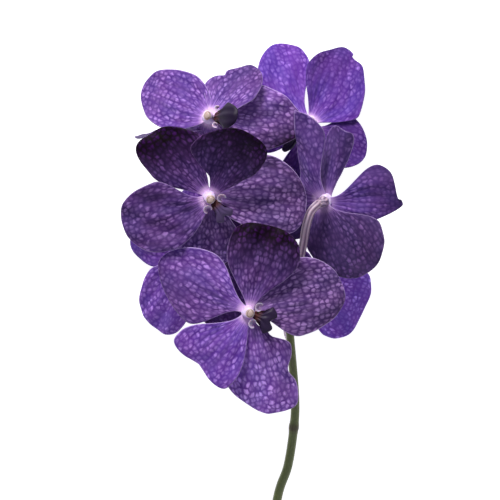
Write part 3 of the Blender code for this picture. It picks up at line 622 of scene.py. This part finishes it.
def column(name, middle, face, heading):
    """The profile's radius carried round its leaning axis, with three low ribs, a groove behind the
    anther cap and two cheeks on the cap: the radius times 1 - a narrow bell + small cosines of three
    times and of twice the angle. Two dark pits lie on the cap. Place holds the share of the length, how
    dark the line round the cap is there, open towards the lip, and the pits."""
    sides = 40
    n, d, across = bloom_axes(face, heading)
    profile = smooth_path(COLUMN_PROFILE, 10)
    forward, up, radius = profile.T
    share = np.linspace(0, 1, len(profile))[:, None]
    angle = np.linspace(0, 2 * pi, sides + 1)[None, :-1]
    groove = CAP_GROOVE * np.exp(-((share - CAP_START) / 0.025) ** 2)
    cheeks = CAP_CHEEKS * np.cos(2 * angle) * np.clip((share - CAP_START) / 0.1, 0, 1)
    ribs = COLUMN_RIBS * np.cos(3 * angle + 0.6) * np.clip((0.75 - share) / 0.2, 0, 1)
    girth = np.clip(radius, 0.0, None)[:, None] * (1 - groove + cheeks + ribs)
    axis = middle + forward[:, None] * d + up[:, None] * n
    ray = np.cos(angle)[..., None] * across + np.sin(angle)[..., None] * d
    rings = axis[:, None] + girth[..., None] * ray
    turn = np.linspace(0, 1, sides + 1)[None, :]
    uv = np.stack([share + 0 * turn, 0 * share + turn], -1)
    round_cap = np.clip(0.8 - 2.0 * np.clip(np.sin(angle) - 0.6, 0, 1), 0, 1)
    pits = np.exp(-((share - 0.955) / 0.03) ** 2 - ((np.abs(angle - pi / 2) - 0.9) / 0.35) ** 2)
    place = np.stack([share + 0 * angle, 0 * share + round_cap, pits, 0 * pits], -1)
    return surface(name, rings, uv, place, COLUMN_SKIN)


for bloom_name, bloom in BLOOMS.items():
    middle = spot(*bloom["at"])
    piece = column(f"{bloom_name}_column_skin", middle, bloom["face"], bloom["lip"]["heading"])
    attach(piece, "root")
    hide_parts(f"{bloom_name}_column")


# Lips
# The lip is a short fleshy tongue under the column, nearly black, ridged along its top and wider at its
# end. Two pale ears stand up beside its root, round a brown throat.

LIP_ROOT = (2.6, 2.1)  # its start, forward of the middle of the bloom and above it
LIP_STEPS = 8  # straight steps in its middle line
NOTCH = 0.25  # how far the middle of the end is drawn back, as a share of the length
FLESH = 0.07  # how pale most lips are: 0 is the darkest one, and 1 a dull violet
EAR = 1.25  # radius of an ear's curl where it starts
EAR_CLOSING = 0.35  # share of that radius that it loses by its end
EAR_START = 70.0  # degrees from the lip's way
EAR_TURN = 235.0  # how far round it rolls
EAR_TALL = 3.8  # its height in the middle of the arc
EAR_LEAN = 0.5  # how far the top edge leans out, as a share of the height
EAR_OUT = 4.6  # from the middle of the lip to the middle of the curl
EAR_AHEAD = 0.7  # how far forward of the lip's first step that is
EAR_SUNK = 0.6  # how far its foot lies below the middle of the lip
EAR_THIN = 0.42  # half its thickness

# Thick, smooth flesh, so dark that little but its soft shine shows, brown in the throat
LIP_SKIN, tree, shader = new_material("dark fleshy lip", Roughness=0.45, Specular_IOR_Level=0.15)
share, _, _, flesh_and_painted_light = place_numbers(tree)
dark = add_node(tree, "MapRange", {"Value": share, "From Min": 0.22, "From Max": 0.42})
# How pale the flesh is; on bloom_2 the paler flesh is painted light
flesh = add_node(tree, "Mix", {0: flesh_and_painted_light, 6: hex_colour("#1F132E"), 7: hex_colour("#6C5888")},
                 out=2, data_type="RGBA")
colour = add_node(tree, "Mix", {0: dark, 6: hex_colour("#4A2828"), 7: flesh}, out=2, data_type="RGBA")
tree.links.new(colour, shader.inputs["Base Color"])

# Thin flesh that light comes through, lilac with a whiter edge
EAR_SKIN, tree, shader = new_material(
    "pale lilac ear", Roughness=0.5, Subsurface_Weight=0.2, Subsurface_Scale=0.001, Specular_IOR_Level=0.3)
_, edge, _, _ = place_numbers(tree)
colour = add_node(tree, "Mix", {0: edge, 6: hex_colour("#A488B4"), 7: hex_colour("#DCCAE4")},
                  out=2, data_type="RGBA")
tree.links.new(colour, shader.inputs["Base Color"])


def lip_path(middle, face, heading, length, rise, curl, **end_shape):
    """The lip's middle line, the ways out of, along and across the bloom, and what shapes its end. The
    line leaves the bloom at the angle rise and bends by curl, a sum of short steps."""
    n, d, side = bloom_axes(face, heading)
    up = np.radians(rise + curl * np.linspace(0, 1, LIP_STEPS + 1))[1:, None]
    step = (np.cos(up) * d + np.sin(up) * n) * length / LIP_STEPS
    start = middle + LIP_ROOT[0] * d + LIP_ROOT[1] * n
    return start + np.vstack([np.zeros(3), np.cumsum(step, 0)]), n, d, side, end_shape


def path_axes(path, up):
    """Two ways square to a path at each point: across it, and above it, near up."""
    along = unit(np.gradient(path, axis=0))
    above = unit(up - (along @ np.asarray(up, float))[:, None] * along)
    return np.cross(above, along), above


def lip(name, path, up, flare, waist=0.5, notch=NOTCH, pale=FLESH):
    """A fleshy tongue on a grid of places across it and along it. Its end is rounded at the corners and
    drawn back by notch, so that it has two lobes. The sides bend down, and three keels run along the
    top, a cosine of three times the width. It widens from its root, draws in a little before its waist
    and widens past it to its flare. Place holds the share of the length, and how pale it is as alpha."""
    rows, columns = 30, 36
    line = smooth_path(path, 6)
    x = np.sin(np.linspace(-pi / 2, pi / 2, columns + 1))[:, None]
    s = np.sin(np.linspace(0, pi / 2, rows + 1))[None, :]
    share = s * (1 - notch * np.exp(-(x / 0.3) ** 2) - 0.4 * np.abs(x) ** 3)
    whole = np.linspace(0, 1, len(line))
    spine, across, above = (np.stack([np.interp(share, whole, part[:, i]) for i in range(3)], -1)
                            for part in (line, *path_axes(line, up)))
    places = (0, 0.4 * waist, 0.7 * waist, waist, waist + 0.12, waist + 0.25, 1)
    girth = np.interp(share, places, (1.6, 2.8, 2.5, 2.9, 0.7 * flare, flare, 0.95 * flare))
    thick = np.interp(share, (0, 0.3, 0.9, 1), (0.5, 1.2, 1.4, 1.0))
    thick = thick * (1 - x**2) ** 0.35 * np.sqrt(np.clip(s / 0.1, 0, 1)) * np.sqrt(1 - s**8)
    keels = 0.35 * (1 + np.cos(3 * pi * x)) * np.sin(pi * s) ** 0.7 * (1 - x**2)
    points = spine + (girth * x)[..., None] * across - (0.12 * girth * x**2 * share)[..., None] * above
    top = points + (thick + keels)[..., None] * above
    below = points - thick[..., None] * above
    rings = np.concatenate([top, below[:, -2:0:-1]], 1)
    uv = np.stack([share, 0 * share + x], -1)
    uv = np.concatenate([uv, uv[:, -2:0:-1], uv[:, :1]], 1)
    # The alpha is how pale the lip is, which on bloom_2 is painted light
    place = np.stack([share, 0 * share, 0 * share, 0 * share + pale], -1)
    under = place[:, -2:0:-1]
    return surface(name, rings, uv, np.concatenate([place, under], 1), LIP_SKIN)


def ears(name, path, n, d, side, size):
    """Both ears of a lip: a thin flap that stands on its edge beside the root and rolls inward, an arc
    that tightens along its way. Its top edge leans out, and sinks at both ends. size scales the
    arc's radius and the height. Place holds the share of the arc, and how near the top edge is."""
    rows, sides = 48, 32
    made = []
    for sign in (-1, 1):
        share = np.linspace(0, 1, rows + 1)[:, None]
        angle = np.radians(EAR_START + EAR_TURN * share)
        radius = size * EAR * (1 - EAR_CLOSING * share)
        height = 0.5 * size * EAR_TALL * np.sin(pi * np.clip(0.08 + 0.9 * share, 0, 1)) ** 0.6
        middle = path[1] + EAR_AHEAD * d + sign * EAR_OUT * side
        ray = np.cos(angle) * d + sign * np.sin(angle) * side
        line = middle + radius * ray + (height - EAR_SUNK) * n
        around = np.linspace(0, 2 * pi, sides + 1)[None, :-1]
        tall = height * np.sin(around)
        thin = EAR_THIN * np.cos(around) + EAR_LEAN * (tall + height)
        rings = line[:, None] + tall[..., None] * n + thin[..., None] * ray[:, None]
        turn = np.linspace(0, 1, sides + 1)[None, :]
        uv = np.stack([share + 0 * turn, 0 * share + turn], -1)
        edge = np.clip(np.sin(around), 0, 1) ** 2 + 0 * share
        place = np.stack([share + 0 * around, edge, 0 * edge, 0 * edge], -1)
        made.append(surface(f"{name}_{'left' if sign < 0 else 'right'}", rings, uv, place, EAR_SKIN))
    return made


for bloom_name, bloom in BLOOMS.items():
    path, n, d, side, end_shape = lip_path(spot(*bloom["at"]), bloom["face"], **bloom["lip"])
    tongue = lip(f"{bloom_name}_lip_skin", path, n, **end_shape)
    for piece in [tongue, *ears(f"{bloom_name}_ear", path, n, d, side, bloom.get("ear", 1.0))]:
        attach(piece, "root")
        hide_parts(f"{bloom_name}_lip")


# Stem
# A round green stalk, cut square at its lower end, with a raised ring where an old sheath stood and a
# small dry bract under each flower.

STEM = 2.55  # radius at the cut end
STEM_TAPER = 1.1  # how much less it is at the tip
# Places that the stem runs through from its cut end: across and down the photograph, and above the floor
STEM_SPOTS = [(268, 578, 2.6), (278, 500, 13.5), (289, 465, 18.5), (295, 425, 24), (296, 400, 28),
              (294, 370, 32), (291, 335, 36), (288, 300, 36), (284, 260, 34), (280, 220, 32),
              (278, 190, 32), (277, 165, 32)]
STEM_HEIGHT = 34.0  # of its upper half above the floor
NODE_SPOT = (294, 427, 24)
NODE_LONG = 2.2  # half the length of the ring there
NODE_RAISED = 0.45  # how far the ring stands out
# How far down the photograph each bract stands, and how far round the stem, in degrees
BRACTS = [(353, 160), (318, -20), (306, -60), (268, -160), (248, 150), (192, -170), (178, 20)]
BRACT_ROOT = 0.7  # how deep its root lies in the stem
BRACT_POINTS = [(0.0, 0.0), (1.6, 0.8), (3.6, 1.5), (5.4, 1.7)]  # up the stem and out from it
BRACT_GIRTH = [0.9, 1.3, 1.0, 0.35]  # radii from its root to its tip
GRAIN = (6.0, 14.0, 1.0)  # spots of the mottle to 10 mm of length, and round the stem
stem_line = smooth_path([spot(*p) for p in STEM_SPOTS], 12)
stem_girth = STEM - STEM_TAPER * np.linspace(0, 1, len(stem_line)) ** 2

# Fresh green stalk, half glossy, with a fine mottle a little longer than wide, and brown where dry
STEM_SKIN, tree, shader = new_material("green flower stalk", Roughness=0.45, Subsurface_Weight=0.05,
                                       Subsurface_Scale=0.001)
skin = add_node(tree, "UVMap", uv_map="skin")
_, dry, _, _ = place_numbers(tree)
grain = add_node(tree, "VectorMath", {0: skin, 1: GRAIN}, operation="MULTIPLY")
grain = add_node(tree, "TexNoise", {"Vector": grain, "Scale": 1.0, "Detail": 4.0})
green = add_node(tree, "Mix", {0: grain, 6: hex_colour("#46532C"), 7: hex_colour("#7A834E")},
                 out=2, data_type="RGBA")
colour = add_node(tree, "Mix", {0: dry, 6: green, 7: hex_colour("#4A3A30")}, out=2, data_type="RGBA")
tree.links.new(colour, shader.inputs["Base Color"])


def rod(name, line, girth, up, material, ridges=0.0, count=6, turns=0.0, sides=32, mark=0.0):
    """A tube along a line: its radius times 1 + ridges times the cosine of count times the angle, which
    turns on its way along. Its ends are flat. The uv runs along it in centimetres and once round it.
    Place holds the share of the length, how dry it is, and 1 on a ridge to 0 in a furrow."""
    across, above = path_axes(line, up)
    share = np.linspace(0, 1, len(line))[:, None]
    angle = np.linspace(0, 2 * pi, sides + 1)[None, :-1]
    wave = np.cos(count * angle + 2 * pi * turns * share)
    radius = np.asarray(girth)[:, None] * (1 + ridges * wave)
    rings = line[:, None] + radius[..., None] * (
        np.cos(angle)[..., None] * across[:, None] + np.sin(angle)[..., None] * above[:, None])
    length = np.concatenate([[0], np.cumsum(np.linalg.norm(np.diff(line, axis=0), axis=1))])[:, None] / 10
    turn = np.linspace(0, 1, sides + 1)[None, :]
    uv = np.stack([length + 0 * turn, 0 * share + turn], -1)
    marks = np.broadcast_to(mark, (len(line),))[:, None]
    place = np.stack([share + 0 * angle, marks + 0 * angle, 0.5 + 0.5 * wave, 0 * wave], -1)
    return surface(name, rings, uv, place, material)


def stem_place(down):
    """The number of the stem's point that lies level with a place down the photograph."""
    return int(np.argmin(np.abs(stem_line[:, 1] - spot(0, down, STEM_HEIGHT)[1])))


ring = np.exp(-((stem_line[:, 1] - spot(*NODE_SPOT)[1]) / NODE_LONG) ** 2)
stem_pieces = [rod("stem_skin", stem_line, stem_girth + NODE_RAISED * ring, (0, 0, 1), STEM_SKIN,
                   ridges=0.02, count=9, turns=0.5, sides=40, mark=0.8 * ring)]
for number, (down, turn) in enumerate(BRACTS):
    k = stem_place(down)
    way = unit(stem_line[k + 1] - stem_line[k])
    beside = unit(np.cross(way, (0, 0, 1)))
    out = cos(radians(turn)) * beside + sin(radians(turn)) * np.cross(beside, way)
    root = stem_line[k] + (stem_girth[k] - BRACT_ROOT) * out
    line = smooth_path([root + ahead * way + off * out for ahead, off in BRACT_POINTS], 5)
    places = np.linspace(0, 1, len(BRACT_GIRTH))
    girth = np.interp(np.linspace(0, 1, len(line)), places, BRACT_GIRTH)
    stem_pieces.append(rod(f"stem_bract_{number + 1}", line, girth, out, STEM_SKIN, mark=0.7, sides=20))
for piece in stem_pieces:
    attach(piece, "root")
    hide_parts("stem")


# Flower stalks
# A pedicel joins each bloom to the stem: pale mauve, with twisted ribs and darker furrows, thicker
# under the bloom, where the ovary is.

STALK = 1.8  # radius of a stalk
STALK_FOOT = 1.6  # its radius at the stem
STALK_SEAT = -1.0  # its end, along the way that the bloom faces from its middle
STEM_GAP = 1.1  # from the stem's skin to the middle of the stalk's foot
STALK_RISE = 2.9  # length of the stalk's straight start, square to the stem
OVARY = 9.0  # length of the thick straight end behind a bloom
OVARY_GIRTH = (2.0, 2.6, 3.1)  # radii along that end
STALK_LEAN = (0.3, 0.2, 0.1)  # added to the bloom's way, so that no part of the stalk runs along the sum

# Fresh ribbed stalk, half glossy, pale on the ribs and dark mauve in the furrows
STALK_SKIN, tree, shader = new_material("ribbed mauve stalk", Roughness=0.42, Subsurface_Weight=0.1,
                                        Subsurface_Scale=0.001)
_, _, ridge, _ = place_numbers(tree)
colour = add_node(tree, "Mix", {0: ridge, 6: hex_colour("#6B5170"), 7: hex_colour("#CBB2C6")},
                  out=2, data_type="RGBA")
tree.links.new(colour, shader.inputs["Base Color"])

for bloom_name, bloom in BLOOMS.items():
    middle = spot(*bloom["at"])
    spots = bloom["stalk"]
    n = unit(bloom["face"])
    k = stem_place(spots[0][1])
    way = unit(stem_line[k + 1] - stem_line[k - 1])
    out = spot(*spots[0]) - stem_line[k]
    out = unit(out - (out @ way) * way)
    start = [stem_line[k] + (stem_girth[k] + gap) * out for gap in (STEM_GAP, STEM_GAP + STALK_RISE)]
    ends = [middle - bloom.get("ovary", OVARY) * n, middle + STALK_SEAT * n]
    points = start + [spot(*p) for p in spots[1:]] + ends
    line = smooth_path(points, 12)
    thirds = 3 * (len(points) - 1) + 1  # radii at every third of the way from a point to the next
    girth = np.full(thirds, bloom.get("stalk_radius", STALK))
    girth[0] = STALK_FOOT
    girth[-3:] = OVARY_GIRTH
    girth = np.interp(np.linspace(0, 1, len(line)), np.linspace(0, 1, thirds), girth)
    piece = rod(f"{bloom_name}_pedicel_skin", line, girth, n + STALK_LEAN, STALK_SKIN, ridges=0.07, turns=0.6)
    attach(piece, "root")
    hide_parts(f"{bloom_name}_pedicel")
